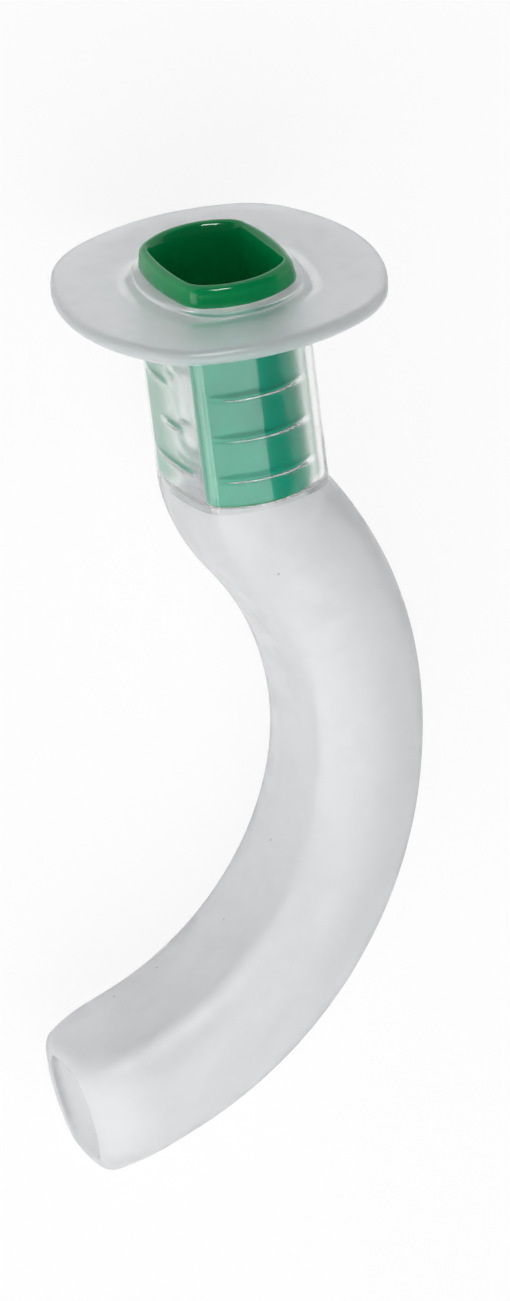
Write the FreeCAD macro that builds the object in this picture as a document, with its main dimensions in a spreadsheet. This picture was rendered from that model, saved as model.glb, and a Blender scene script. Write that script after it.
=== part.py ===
import FreeCAD, Part
import math
import os
import Sketcher
from FreeCAD import Placement, Rotation, Vector

# Driving sizes, in millimetres and degrees
# The body's own axes: the origin is where the neck's axis meets the flange's mouth side,
# x points to the front, which is the hollow side of the curve, y to one side, z out of the flange.
SIZES = [
    ("flange_half_depth", 14.25),
    ("flange_half_width", 16.6),
    ("flange_face_radius", 22.8),
    ("flange_side_radius", 16.5),
    ("flange_corner_radius", 9.4),
    ("flange_thickness", 1.45),
    ("flange_edge_round", 0.7),
    ("land_margin", 1.3),
    ("land_height", 0.35),
    ("land_round", 0.2),
    ("neck_half_depth", 6.75),
    ("neck_half_width", 8.35),
    ("neck_face_radius", 20.0),
    ("neck_side_radius", 10.8),
    ("neck_corner_radius", 3.9),
    ("neck_length", 19.3),
    ("neck_root_round", 0.8),
    ("knee_radius", 0.75),
    ("knee_angle", 34.8),
    ("curve_radius", 32.0),
    ("curve_angle", 108.2),
    ("waist_angle", 48.0),
    ("tip_length", 8.2),
    ("nose_length", 5.2),
    ("waist_half_depth", 5.95),
    ("waist_half_width", 7.65),
    ("waist_face_radius", 18.0),
    ("waist_side_radius", 9.5),
    ("waist_corner_radius", 4.1),
    ("shoulder_half_depth", 6.2),
    ("shoulder_half_width", 8.0),
    ("shoulder_face_radius", 20.0),
    ("shoulder_side_radius", 9.5),
    ("shoulder_corner_radius", 4.3),
    ("nose_half_depth", 6.15),
    ("nose_half_width", 7.4),
    ("nose_face_radius", 18.5),
    ("nose_side_radius", 9.3),
    ("nose_corner_radius", 4.1),
    ("tip_half_depth", 6.05),
    ("tip_half_width", 5.9),
    ("tip_face_radius", 15.0),
    ("tip_side_radius", 9.0),
    ("tip_corner_radius", 3.7),
    ("tip_bevel_angle", 9.0),
    ("tip_trim", 0.5),
    ("tip_round", 1.2),
    ("tip_mouth_round", 0.2),
    ("tip_wall", 1.75),
    ("lumen_half_depth", 4.4),
    ("lumen_half_width", 6.7),
    ("lumen_face_radius", 60.0),
    ("lumen_side_radius", 5.6),
    ("lumen_corner_radius", 1.4),
    ("block_wall", 0.9),
    ("block_shoulder", 0.3),
    ("block_foot_round", 0.3),
    ("rim_half_depth", 5.75),
    ("rim_half_width", 8.2),
    ("rim_face_radius", 30.0),
    ("rim_side_radius", 6.2),
    ("rim_corner_radius", 2.5),
    ("rim_height", 2.05),
    ("rim_outer_round", 0.95),
    ("rim_lip_round", 0.35),
    ("rib_depth", 8.1),
    ("rib_spacing", 3.9),
    ("rib_count", 3),
    ("rib_height", 0.25),
    ("rib_thickness", 0.4),
    ("fit_clearance", 0.03),
]

doc = FreeCAD.newDocument("Airway")
sheet = doc.addObject("Spreadsheet::Sheet", "Sizes")
for row, (alias, value) in enumerate(SIZES, start=1):
    sheet.set("A%d" % row, alias)
    sheet.set("B%d" % row, str(value))
    sheet.setAlias("B%d" % row, alias)
doc.recompute()


def measure(expression):
    """The value in millimetres or degrees of an expression on the sheet's sizes."""
    result = sheet.evalExpression(expression)
    return float(getattr(result, "Value", result))


def bind(feature, path, expression):
    """Tie one property of a feature to an expression on the sheet's sizes."""
    feature.setExpression(path, expression)


def origin_plane(body, role):
    """One of a body's own origin planes."""
    for feature in body.Origin.OriginFeatures:
        if feature.Role == role:
            return feature
    raise ValueError("no plane " + role)


# The sketch solver's number for the origin point
ROOT = -1

# How finely the resting attitude is searched, in degrees, on a mesh this fine in millimetres
FIRST_LEAN_STEP = 8.0
LAST_LEAN_STEP = 0.02
REST_MESH = 0.05

# The block stops short of the neck's end, and the tube is made longer than its slanted tip needs
BLOCK_DEPTH = "(Sizes.neck_length - Sizes.block_shoulder)"
SOCKET_GROW = "Sizes.block_wall + Sizes.fit_clearance"
TRIM_DEPTH = "(2 * Sizes.tip_half_depth)"
SHOULDER_LENGTH = "(Sizes.tip_length - Sizes.nose_length)"
RAW_NOSE_LENGTH = "(Sizes.nose_length + Sizes.tip_half_depth * tan(Sizes.tip_bevel_angle) + Sizes.tip_trim)"
RAW_TIP_LENGTH = "(%s + %s)" % (SHOULDER_LENGTH, RAW_NOSE_LENGTH)
NOSE_MIDDLE = "(%s + Sizes.nose_length / 2)" % SHOULDER_LENGTH
TIP_HEADING = "(Sizes.curve_angle - Sizes.knee_angle)"

# Where a section stands on the tube's line: the neck's end, or a turn further along the curve
KNEE_LINE_RADIUS = "(Sizes.neck_half_depth + Sizes.knee_radius)"
KNEE_END_X = "-(%s * (1 - cos(Sizes.knee_angle)))" % KNEE_LINE_RADIUS
KNEE_END_Z = "-(Sizes.neck_length + %s * sin(Sizes.knee_angle))" % KNEE_LINE_RADIUS


def curve_station(turn):
    """Expressions for a point on the main curve and the heading there, after a turn along it."""
    heading = "(%s - Sizes.knee_angle)" % turn
    along_x = KNEE_END_X + " + Sizes.curve_radius * (cos(Sizes.knee_angle) - cos(%s))" % heading
    along_z = KNEE_END_Z + " - Sizes.curve_radius * (sin(Sizes.knee_angle) + sin(%s))" % heading
    return along_x, along_z, heading


def tip_station(length):
    """Expressions for a point on the straight end of the tube and the heading there."""
    along_x, along_z, heading = curve_station("Sizes.curve_angle")
    return (along_x + " + (%s) * sin(%s)" % (length, heading),
            along_z + " - (%s) * cos(%s)" % (length, heading), heading)


def arc(centre, radius, start, end):
    """A circular arc about the sketch's own axis, between two angles in radians."""
    circle = Part.Circle(Vector(centre[0], centre[1], 0), Vector(0, 0, 1), radius)
    return Part.ArcOfCircle(circle, start, end)


def corner_centre(half_depth, half_width, face_radius, side_radius, corner_radius):
    """The centre of the corner arc that is tangent to a face arc and a side arc."""
    face_x = half_depth - face_radius
    side_y = half_width - side_radius
    apart = math.hypot(face_x, side_y)
    to_face = face_radius - corner_radius
    to_side = side_radius - corner_radius
    along = (to_face ** 2 - to_side ** 2 + apart ** 2) / (2 * apart)
    across = math.sqrt(to_face ** 2 - along ** 2)
    unit_x, unit_y = -face_x / apart, side_y / apart
    choices = [(face_x + along * unit_x - sign * across * unit_y,
                along * unit_y + sign * across * unit_x) for sign in (1, -1)]
    return max(choices, key=sum)


def section_sketch(body, name, shape, grow="0", station=None):
    """A rounded section of eight tangent arcs: two faces, two sides and four corners.

    shape names the family of sizes, grow is how far outside that outline the section runs,
    and station gives expressions for where its plane stands and how far it is turned."""
    sketch = body.newObject("Sketcher::SketchObject", name)
    sketch.AttachmentSupport = (origin_plane(body, "XY_Plane"), "")
    sketch.MapMode = "FlatFace"
    if station:
        along_x, along_z, heading = station
        sketch.AttachmentOffset = Placement(Vector(0, 0, 0), Rotation(Vector(0, 1, 0), 1.0))
        bind(sketch, "AttachmentOffset.Base.x", along_x)
        bind(sketch, "AttachmentOffset.Base.z", along_z)
        bind(sketch, "AttachmentOffset.Rotation.Angle", "-1 * " + heading)
    names = ["half_depth", "half_width", "face_radius", "side_radius", "corner_radius"]
    rules = ["Sizes.%s_%s + (%s)" % (shape, key, grow) for key in names]
    half_depth, half_width, face_radius, side_radius, corner_radius = map(measure, rules)
    face_x = half_depth - face_radius
    side_y = half_width - side_radius
    corner_x, corner_y = corner_centre(half_depth, half_width, face_radius, side_radius,
                                       corner_radius)
    face_turn = math.atan2(corner_y, corner_x - face_x)
    side_turn = math.atan2(corner_y - side_y, corner_x)
    half, whole = math.pi, 2 * math.pi
    arcs = [
        arc((face_x, 0), face_radius, -face_turn, face_turn),
        arc((corner_x, corner_y), corner_radius, face_turn, side_turn),
        arc((0, side_y), side_radius, side_turn, half - side_turn),
        arc((-corner_x, corner_y), corner_radius, half - side_turn, half - face_turn),
        arc((-face_x, 0), face_radius, half - face_turn, half + face_turn),
        arc((-corner_x, -corner_y), corner_radius, half + face_turn, half + side_turn),
        arc((0, -side_y), side_radius, half + side_turn, whole - side_turn),
        arc((corner_x, -corner_y), corner_radius, whole - side_turn, whole - face_turn),
    ]
    sketch.addGeometry(arcs, False)
    crowns = [Vector(half_depth, 0, 0), Vector(0, half_width, 0),
              Vector(-half_depth, 0, 0), Vector(0, -half_width, 0)]
    sketch.addGeometry([Part.Point(point) for point in crowns], True)
    joins = [Sketcher.Constraint("Tangent", index, 2, (index + 1) % 8, 1) for index in range(8)]
    sketch.addConstraint(joins)
    for crown, (axis, arc_index) in enumerate([(-1, 0), (-2, 2), (-1, 4), (-2, 6)]):
        sketch.addConstraint(Sketcher.Constraint("PointOnObject", arc_index, 3, axis))
        sketch.addConstraint(Sketcher.Constraint("PointOnObject", 8 + crown, 1, axis))
        sketch.addConstraint(Sketcher.Constraint("PointOnObject", 8 + crown, 1, arc_index))
    for first, second in [(0, 4), (2, 6), (1, 3), (1, 5), (1, 7)]:
        sketch.addConstraint(Sketcher.Constraint("Equal", first, second))
    sizes = [
        Sketcher.Constraint("DistanceX", -1, 1, 8, 1, half_depth),
        Sketcher.Constraint("DistanceX", 10, 1, -1, 1, half_depth),
        Sketcher.Constraint("DistanceY", -1, 1, 9, 1, half_width),
        Sketcher.Constraint("DistanceY", 11, 1, -1, 1, half_width),
        Sketcher.Constraint("Radius", 0, face_radius),
        Sketcher.Constraint("Radius", 2, side_radius),
        Sketcher.Constraint("Radius", 1, corner_radius),
    ]
    bound = [rules[0], rules[0], rules[1], rules[1], rules[2], rules[3], rules[4]]
    for constraint, rule in zip(sizes, bound):
        index = sketch.addConstraint(constraint)
        bind(sketch, "Constraints[%d]" % index, rule)
    return sketch


def plane_sketch(body, name, role, station=None):
    """An empty sketch on one of the body's own origin planes, shifted and turned in it."""
    sketch = body.newObject("Sketcher::SketchObject", name)
    sketch.AttachmentSupport = (origin_plane(body, role), "")
    sketch.MapMode = "FlatFace"
    if station:
        across, up, turn = station
        sketch.AttachmentOffset = Placement(Vector(0, 0, 0), Rotation(Vector(0, 0, 1), 1.0))
        bind(sketch, "AttachmentOffset.Base.x", across)
        bind(sketch, "AttachmentOffset.Base.y", up)
        bind(sketch, "AttachmentOffset.Rotation.Angle", turn)
    return sketch


def add_size(sketch, kind, first, second, rule):
    """A distance between two points of a sketch, tied to an expression."""
    constraint = Sketcher.Constraint(kind, *first, *second, measure(rule))
    bind(sketch, "Constraints[%d]" % sketch.addConstraint(constraint), rule)


def add_turning_line(sketch, radius, to_front=False):
    """A construction line beside a section, parallel to its sides, for a bend to turn about."""
    across = measure(radius) if to_front else -measure(radius)
    ends = [Vector(across, side, 0) for side in (-1, 1)]
    line = sketch.addGeometry(Part.LineSegment(*ends), True)
    sketch.addConstraint(Sketcher.Constraint("Vertical", line))
    sketch.addConstraint(Sketcher.Constraint("DistanceY", line, 1, ROOT, 1, 1.0))
    sketch.addConstraint(Sketcher.Constraint("DistanceY", ROOT, 1, line, 2, 1.0))
    ends = [(ROOT, 1), (line, 1)] if to_front else [(line, 1), (ROOT, 1)]
    add_size(sketch, "DistanceX", *ends, radius)


def curve_line(body):
    """The tube's centre line below the knee: an arc to the waist, the rest of it and two straights."""
    sketch = plane_sketch(body, "CurveLine", "XZ_Plane")
    radius = measure("Sizes.curve_radius")
    knee_turn = math.radians(measure("Sizes.knee_angle"))
    waist_turn = math.radians(measure("Sizes.waist_angle - Sizes.knee_angle"))
    end_turn = math.radians(measure(TIP_HEADING))
    start = Vector(measure(KNEE_END_X), measure(KNEE_END_Z), 0)
    centre = start + Vector(math.cos(knee_turn), -math.sin(knee_turn), 0) * radius
    bend_end = centre - Vector(math.cos(end_turn), math.sin(end_turn), 0) * radius
    ahead = Vector(math.sin(end_turn), -math.cos(end_turn), 0)
    nose_start = bend_end + ahead * measure(SHOULDER_LENGTH)
    upper = sketch.addGeometry(arc(centre, radius, math.pi - knee_turn, math.pi + waist_turn), False)
    lower = sketch.addGeometry(arc(centre, radius, math.pi + waist_turn, math.pi + end_turn), False)
    straight = sketch.addGeometry(Part.LineSegment(bend_end, nose_start), False)
    nose = sketch.addGeometry(
        Part.LineSegment(nose_start, bend_end + ahead * measure(RAW_TIP_LENGTH)), False)
    for first, second in [(upper, lower), (lower, straight), (straight, nose)]:
        sketch.addConstraint(Sketcher.Constraint("Tangent", first, 2, second, 1))
    add_size(sketch, "DistanceX", (upper, 1), (ROOT, 1), "-1 * (%s)" % KNEE_END_X)
    add_size(sketch, "DistanceY", (upper, 1), (ROOT, 1), "-1 * (%s)" % KNEE_END_Z)
    add_size(sketch, "DistanceX", (upper, 1), (upper, 3), "Sizes.curve_radius * cos(Sizes.knee_angle)")
    add_size(sketch, "DistanceY", (upper, 3), (upper, 1), "Sizes.curve_radius * sin(Sizes.knee_angle)")
    waist_drop = "Sizes.curve_radius * sin(Sizes.waist_angle - Sizes.knee_angle)"
    add_size(sketch, "DistanceY", (upper, 2), (upper, 3), waist_drop)
    sketch.addConstraint(Sketcher.Constraint("Equal", upper, lower))
    shoulder_across = "%s * sin(%s)" % (SHOULDER_LENGTH, TIP_HEADING)
    shoulder_drop = "%s * cos(%s)" % (SHOULDER_LENGTH, TIP_HEADING)
    nose_across = "%s * sin(%s)" % (RAW_NOSE_LENGTH, TIP_HEADING)
    add_size(sketch, "DistanceX", (straight, 1), (straight, 2), shoulder_across)
    add_size(sketch, "DistanceY", (straight, 2), (straight, 1), shoulder_drop)
    add_size(sketch, "DistanceX", (nose, 1), (nose, 2), nose_across)
    return sketch


def trim_sketch(body):
    """The rectangle beyond the tip's slanted end face, seen from the side."""
    along_x, along_z, heading = tip_station("Sizes.tip_length")
    turn = "%s + Sizes.tip_bevel_angle" % heading
    sketch = plane_sketch(body, "TipTrimOutline", "XZ_Plane", (along_x, along_z, turn))
    half = measure("2 * Sizes.tip_half_depth")
    deep = measure(TRIM_DEPTH)
    corners = [Vector(-half, 0, 0), Vector(half, 0, 0), Vector(half, -deep, 0), Vector(-half, -deep, 0)]
    lines = [Part.LineSegment(corners[index], corners[(index + 1) % 4]) for index in range(4)]
    sketch.addGeometry(lines, False)
    for index in range(4):
        sketch.addConstraint(Sketcher.Constraint("Coincident", index, 2, (index + 1) % 4, 1))
        sketch.addConstraint(Sketcher.Constraint("Vertical" if index % 2 else "Horizontal", index))
    sketch.addConstraint(Sketcher.Constraint("PointOnObject", 0, 1, -1))
    add_size(sketch, "DistanceX", (0, 1), (ROOT, 1), "2 * Sizes.tip_half_depth")
    add_size(sketch, "DistanceX", (ROOT, 1), (0, 2), "2 * Sizes.tip_half_depth")
    add_size(sketch, "DistanceY", (2, 1), (1, 1), TRIM_DEPTH)
    return sketch


def volume_of(body):
    """The volume that the body holds so far."""
    doc.recompute()
    return body.Shape.Volume


def pad(body, name, sketch, length, downwards=False):
    """A pad of a section along the neck's axis."""
    feature = body.newObject("PartDesign::Pad", name)
    feature.Profile = sketch
    feature.Reversed = downwards
    bind(feature, "Length", length)
    return feature


def check_cut(body, name, before):
    """Stop if a feature that has to cut has taken nothing away."""
    if volume_of(body) >= before - 1e-6:
        raise ValueError(name + " cuts nothing")


def pocket_down(body, name, sketch, length):
    """A pocket from a section down the neck's axis."""
    before = volume_of(body)
    feature = body.newObject("PartDesign::Pocket", name)
    feature.Profile = sketch
    bind(feature, "Length", length)
    check_cut(body, name, before)
    return feature


def bend(body, kind, name, sketch, angle, to_front=False):
    """A turn of the tube to the back or to the front, as a revolved solid or a revolved cut."""
    feature = body.newObject(kind, name)
    feature.Profile = sketch
    feature.ReferenceAxis = (sketch, ["Axis0"])
    feature.Reversed = to_front
    bind(feature, "Angle", angle)
    return feature


def bend_way(body, name, station, radius, angle, to_front=False):
    """The way through a bend, with the neck's own section."""
    before = volume_of(body)
    outline = section_sketch(body, name + "Outline", "lumen", station=station)
    add_turning_line(outline, radius, to_front)
    bend(body, "PartDesign::Groove", name, outline, angle, to_front)
    check_cut(body, name, before)


def pipe(body, kind, name, line, edges, sections):
    """A pipe along a stretch of the centre line whose section changes between its sketches."""
    feature = body.newObject(kind, name)
    feature.Profile = sections[0]
    feature.Spine = (line, edges)
    feature.Sections = [(section, [""]) for section in sections[1:]]
    feature.Transformation = "Multisection"
    feature.Mode = "Standard"
    doc.recompute()
    return feature


def curve_outside(body, line):
    """The curve in three stretches: knee to waist, waist to shoulder, and the narrowing nose."""
    sections = [
        section_sketch(body, "CurveStart", "neck", station=curve_station("0")),
        section_sketch(body, "Waist", "waist", station=curve_station("Sizes.waist_angle")),
        section_sketch(body, "Shoulder", "shoulder", station=tip_station(SHOULDER_LENGTH)),
        section_sketch(body, "NoseMiddle", "nose", station=tip_station(NOSE_MIDDLE)),
        section_sketch(body, "NoseEnd", "tip", station=tip_station(RAW_TIP_LENGTH)),
    ]
    pipe(body, "PartDesign::AdditivePipe", "CurveUpper", line, ["Edge1"], sections[0:2])
    pipe(body, "PartDesign::AdditivePipe", "CurveLower", line, ["Edge2", "Edge3"], sections[1:3])
    pipe(body, "PartDesign::AdditivePipe", "Nose", line, ["Edge4"], sections[2:5])


def tip_way(body, line):
    """The way through the straight end, which narrows with the nose."""
    before = volume_of(body)
    wall = "-Sizes.tip_wall"
    sections = [
        section_sketch(body, "StraightWayStart", "lumen", station=tip_station("0")),
        section_sketch(body, "StraightWayEnd", "lumen", station=tip_station(SHOULDER_LENGTH)),
        section_sketch(body, "NoseWayMiddle", "nose", wall, tip_station(NOSE_MIDDLE)),
        section_sketch(body, "NoseWayEnd", "tip", wall, tip_station(RAW_TIP_LENGTH)),
    ]
    pipe(body, "PartDesign::SubtractivePipe", "StraightWay", line, ["Edge3"], sections[0:2])
    pipe(body, "PartDesign::SubtractivePipe", "NoseWay", line, ["Edge4"], sections[1:4])
    check_cut(body, "NoseWay", before)


def repeat_ribs(body, name, feature):
    """Copies of a rib, or of its groove, down the neck."""
    pattern = body.newObject("PartDesign::LinearPattern", name)
    pattern.Originals = [feature]
    pattern.Direction = (origin_plane(body, "Z_Axis"), [""])
    pattern.Reversed = True
    bind(pattern, "Length", "Sizes.rib_spacing * (Sizes.rib_count - 1)")
    bind(pattern, "Occurrences", "Sizes.rib_count")
    body.Tip = pattern
    return pattern


def face_edges(shape, point, normal, inner):
    """Names of the edges round a flat face: those of its holes, or those of its outline."""
    flat = [face for face in shape.Faces if face.Surface.TypeId == "Part::GeomPlane"
            and abs(abs(face.Surface.Axis.dot(normal)) - 1) < 1e-6
            and abs((face.CenterOfMass - point).dot(normal)) < 1e-4]
    face = max(flat, key=lambda candidate: candidate.OuterWire.Length)
    wanted = []
    for wire in face.Wires:
        if wire.isSame(face.OuterWire) != inner:
            wanted += wire.Edges
    return ["Edge%d" % index for index, edge in enumerate(shape.Edges, start=1)
            if any(edge.isSame(one) for one in wanted)]


def fillet(body, name, point, normal, radius, inner=False):
    """A fillet round a flat face of what the body holds so far, or round the holes in it."""
    doc.recompute()
    edges = face_edges(body.Shape, point, normal, inner)
    base = body.Tip
    feature = body.newObject("PartDesign::Fillet", name)
    feature.Base = (base, edges)
    bind(feature, "Radius", radius)
    doc.recompute()
    return feature


def level(rule):
    """A section's station at a height on the neck's axis."""
    return "0", rule, "0"


def make_airway_body():
    """The soft one-piece moulding: flange, neck, knee and curved tube, with its way through."""
    body = doc.addObject("PartDesign::Body", "AirwayBody")
    body.Label = "airway_body"
    up = Vector(0, 0, 1)
    flange_top = Vector(0, 0, 0)
    underside = Vector(0, 0, -measure("Sizes.flange_thickness"))
    land_top = Vector(0, 0, measure("Sizes.land_height"))

    # Flange and neck, then the raised land round the bite block's rim
    flange = section_sketch(body, "FlangeOutline", "flange")
    pad(body, "FlangePlate", flange, "Sizes.flange_thickness", downwards=True)
    pad(body, "Neck", section_sketch(body, "NeckOutline", "neck"), "Sizes.neck_length", downwards=True)
    fillet(body, "NeckRoot", underside, up, "Sizes.neck_root_round", inner=True)
    fillet(body, "FlangeLowerEdge", underside, up, "Sizes.flange_edge_round")
    fillet(body, "FlangeUpperEdge", flange_top, up, "Sizes.flange_edge_round")
    land = section_sketch(body, "LandOutline", "rim", grow="Sizes.land_margin")
    pad(body, "Land", land, "Sizes.land_height")
    fillet(body, "LandEdge", land_top, up, "Sizes.land_round")

    # Knee and curve, outside
    knee_outline = section_sketch(body, "KneeOutline", "neck", station=level("-Sizes.neck_length"))
    add_turning_line(knee_outline, KNEE_LINE_RADIUS)
    bend(body, "PartDesign::Revolution", "Knee", knee_outline, "Sizes.knee_angle")
    line = curve_line(body)
    curve_outside(body, line)

    # The slanted, rounded tip
    before = volume_of(body)
    trim = body.newObject("PartDesign::Pocket", "TipTrim")
    trim.Profile = trim_sketch(body)
    trim.Midplane = True
    bind(trim, "Length", "4 * Sizes.tip_half_width")
    check_cut(body, "TipTrim", before)
    tip_x, tip_z, heading = map(measure, tip_station("Sizes.tip_length"))
    slant = math.radians(heading + measure("Sizes.tip_bevel_angle"))
    tip_point = Vector(tip_x, 0, tip_z)
    tip_normal = Vector(math.sin(slant), 0, -math.cos(slant))
    fillet(body, "TipRound", tip_point, tip_normal, "Sizes.tip_round")

    # The way through, from the neck to the tip's mouth
    way = section_sketch(body, "NeckLumenOutline", "lumen", station=level("Sizes.land_height"))
    pocket_down(body, "NeckLumen", way, "Sizes.land_height + Sizes.neck_length")
    bend_way(body, "KneeWay", level("-Sizes.neck_length"), KNEE_LINE_RADIUS, "Sizes.knee_angle")
    bend_way(body, "CurveWay", curve_station("0"), "Sizes.curve_radius", "Sizes.curve_angle",
             to_front=True)
    tip_way(body, line)
    fillet(body, "TipMouth", tip_point, tip_normal, "Sizes.tip_mouth_round", inner=True)

    # The bite block's socket, with a groove for each of its ribs
    socket = section_sketch(body, "SocketOutline", "lumen", SOCKET_GROW, level("Sizes.land_height"))
    pocket_down(body, "Socket", socket,
                "Sizes.land_height + %s + Sizes.fit_clearance" % BLOCK_DEPTH)
    groove = section_sketch(body, "GrooveOutline", "lumen", SOCKET_GROW + " + Sizes.rib_height",
                            level("-Sizes.rib_depth + Sizes.fit_clearance"))
    first = pocket_down(body, "RibGroove", groove, "Sizes.rib_thickness + 2 * Sizes.fit_clearance")
    repeat_ribs(body, "RibGrooves", first)
    doc.recompute()
    return body


def make_bite_block():
    """The hard insert: a ribbed sleeve in the neck under a rolled rim on the flange."""
    body = doc.addObject("PartDesign::Body", "BiteBlock")
    body.Label = "bite_block"
    up = Vector(0, 0, 1)
    foot = Vector(0, 0, -measure(BLOCK_DEPTH))
    crest = Vector(0, 0, measure("Sizes.land_height + Sizes.rim_height"))
    sleeve = section_sketch(body, "SleeveOutline", "lumen", "Sizes.block_wall", level("Sizes.land_height"))
    pad(body, "Sleeve", sleeve, "Sizes.land_height + %s" % BLOCK_DEPTH, downwards=True)
    fillet(body, "Foot", foot, up, "Sizes.block_foot_round")
    outline = section_sketch(body, "RibOutline", "lumen", "Sizes.block_wall + Sizes.rib_height",
                             level("-Sizes.rib_depth"))
    rib = pad(body, "Rib", outline, "Sizes.rib_thickness", downwards=True)
    doc.recompute()
    repeat_ribs(body, "Ribs", rib)
    pad(body, "Rim", section_sketch(body, "RimOutline", "rim", station=level("Sizes.land_height")),
        "Sizes.rim_height")
    fillet(body, "RimRound", crest, up, "Sizes.rim_outer_round")
    way = section_sketch(body, "LumenOutline", "lumen",
                         station=level("Sizes.land_height + Sizes.rim_height"))
    pocket_down(body, "Lumen", way, "Sizes.rim_height + Sizes.land_height + %s" % BLOCK_DEPTH)
    fillet(body, "RimLip", crest, up, "Sizes.rim_lip_round", inner=True)
    return body


def height_of_centre(up, points, centre):
    """How high the centre of mass stands over the lowest point when up is upwards."""
    return up.dot(centre) - min(up.dot(point) for point in points)


def lean(roll, pitch):
    """The upward direction, in the pieces' own axes, of an airway that lies on its side."""
    roll, pitch = math.radians(roll), math.radians(pitch)
    return Vector(math.sin(roll), math.cos(roll) * math.cos(pitch), math.cos(roll) * math.sin(pitch))


def settled_up(points, centre):
    """The upward direction at which the airway has come to rest: its centre stands lowest."""
    directions = [(math.cos(math.radians(turn)), math.sin(math.radians(turn)))
                  for turn in range(0, 360, 15)]
    roll, pitch, step = 0.0, 0.0, FIRST_LEAN_STEP
    lowest = height_of_centre(lean(roll, pitch), points, centre)
    while step > LAST_LEAN_STEP:
        tries = [(roll + step * across, pitch + step * along) for across, along in directions]
        heights = [height_of_centre(lean(*one), points, centre) for one in tries]
        if min(heights) < lowest:
            lowest = min(heights)
            roll, pitch = tries[heights.index(lowest)]
        else:
            step /= 2
    return lean(roll, pitch)


def resting_placement(bodies):
    """The airway on its side on a level surface, the flange towards +Y, centred over the origin."""
    points = [point for body in bodies for point in body.Shape.tessellate(REST_MESH)[0]]
    solids = [solid for body in bodies for solid in body.Shape.Solids]
    whole = sum(solid.Volume for solid in solids)
    centre = Vector(0, 0, 0)
    for solid in solids:
        centre += solid.CenterOfMass * (solid.Volume / whole)
    up = settled_up([point for point in points if point.y < 0], centre)
    neck = Vector(0, 0, 1)
    forwards = (neck - up * neck.dot(up)).normalize()
    turn = Rotation(forwards.cross(up), forwards, up, "ZYX").inverted()
    turned = [turn.multVec(point) for point in points]
    box = FreeCAD.BoundBox()
    for point in turned:
        box.add(point)
    return Placement(Vector(-box.Center.x, -box.Center.y, -box.ZMin), turn)


pieces = [make_airway_body(), make_bite_block()]
rest = resting_placement(pieces)
for piece in pieces:
    piece.Placement = rest
doc.recompute()

for feature in doc.Objects:
    if "Invalid" in feature.State or "Error" in feature.State:
        raise ValueError(feature.Name + " has failed")
for piece in pieces:
    if piece.Shape.isNull() or not piece.Shape.isValid():
        raise ValueError(piece.Label + " has no valid shape")

os.makedirs("parts", exist_ok=True)
for piece in pieces:
    piece.Shape.exportStep("parts/%s.step" % piece.Label)
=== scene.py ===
"""Looks of an oral airway: a soft translucent tube with a flange, and a green bite block in its neck.

Every outline is worked out in the airway's own axes, in metres. Their origin is where the neck's axis
meets the flange's mouth side, x points to the hollow side of the curve, y to one side and z out of the
flange. RESTING turns those axes into the row frame, where the airway lies on its side.
"""

import math

import bmesh
import bpy
from mathutils import Matrix, Vector


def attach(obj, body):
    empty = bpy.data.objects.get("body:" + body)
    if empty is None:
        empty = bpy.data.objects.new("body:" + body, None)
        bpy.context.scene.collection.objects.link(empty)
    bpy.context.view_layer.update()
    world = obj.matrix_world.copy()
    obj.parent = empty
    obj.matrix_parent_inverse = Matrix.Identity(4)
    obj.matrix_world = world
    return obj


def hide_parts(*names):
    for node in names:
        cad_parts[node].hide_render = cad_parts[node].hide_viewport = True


bl_info = {
    "name": "Oral airway",
    "version": (1, 0, 0),
    "blender": (4, 5, 0),
    "location": "3D View > Sidebar > Airway",
    "description": "Models and lights a curved oral airway with its bite block",
    "category": "Add Mesh",
}

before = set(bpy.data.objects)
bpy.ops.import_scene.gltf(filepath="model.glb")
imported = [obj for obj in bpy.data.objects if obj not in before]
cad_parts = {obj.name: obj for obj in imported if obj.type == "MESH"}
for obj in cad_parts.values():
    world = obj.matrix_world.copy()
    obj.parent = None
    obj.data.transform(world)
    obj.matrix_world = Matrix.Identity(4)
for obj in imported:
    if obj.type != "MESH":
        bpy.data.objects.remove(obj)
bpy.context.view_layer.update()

MM = 0.001

# How the airway lies at rest: the place of its origin, how far the neck rises, and its roll
ORIGIN_AT_REST = Vector((0.005149482, 0.038560167, 0.016545678))
NECK_RISE = math.radians(8.094533)
NECK_ROLL = math.radians(10.182138)
ON_ITS_SIDE = Matrix(((-1, 0, 0, 0), (0, 0, 1, 0), (0, 1, 0, 0), (0, 0, 0, 1)))
RESTING = (Matrix.Translation(ORIGIN_AT_REST) @ Matrix.Rotation(NECK_RISE, 4, "X")
           @ ON_ITS_SIDE @ Matrix.Rotation(NECK_ROLL, 4, "Z"))

# Sections: half depth, half width, then the radii of the face, side and corner arcs, in millimetres
FLANGE = (14.25, 16.6, 22.8, 16.5, 9.4)
NECK = (6.75, 8.35, 20.0, 10.8, 3.9)
WAIST = (5.95, 7.65, 18.0, 9.5, 4.1)
SHOULDER = (6.2, 8.0, 20.0, 9.5, 4.3)
NOSE = (6.15, 7.4, 18.5, 9.3, 4.1)
TIP = (6.1, 5.9, 15.0, 9.0, 3.7)
LUMEN = (4.4, 6.7, 60.0, 5.6, 1.4)
LIP = (5.1, 7.4, 26.0, 5.9, 2.8)
RIM = (5.75, 8.15, 24.0, 6.5, 3.0)
LAND = (7.05, 9.5, 14.0, 8.6, 5.6)

# Where each rib presses on the clear wall, from the top: middle and half width of its arcs, and then
# the angle over which the press fades out, all in degrees
RIB_CONTACT = (
    ((85.0, 24.0), (340.0, 15.0), (275.0, 24.0)),
    ((85.0, 24.0), (7.0, 12.0), (275.0, 22.0)),
    ((84.0, 26.0), (353.0, 33.0), (276.0, 24.0)),
)
PRESS_FADE = 6.0

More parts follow.
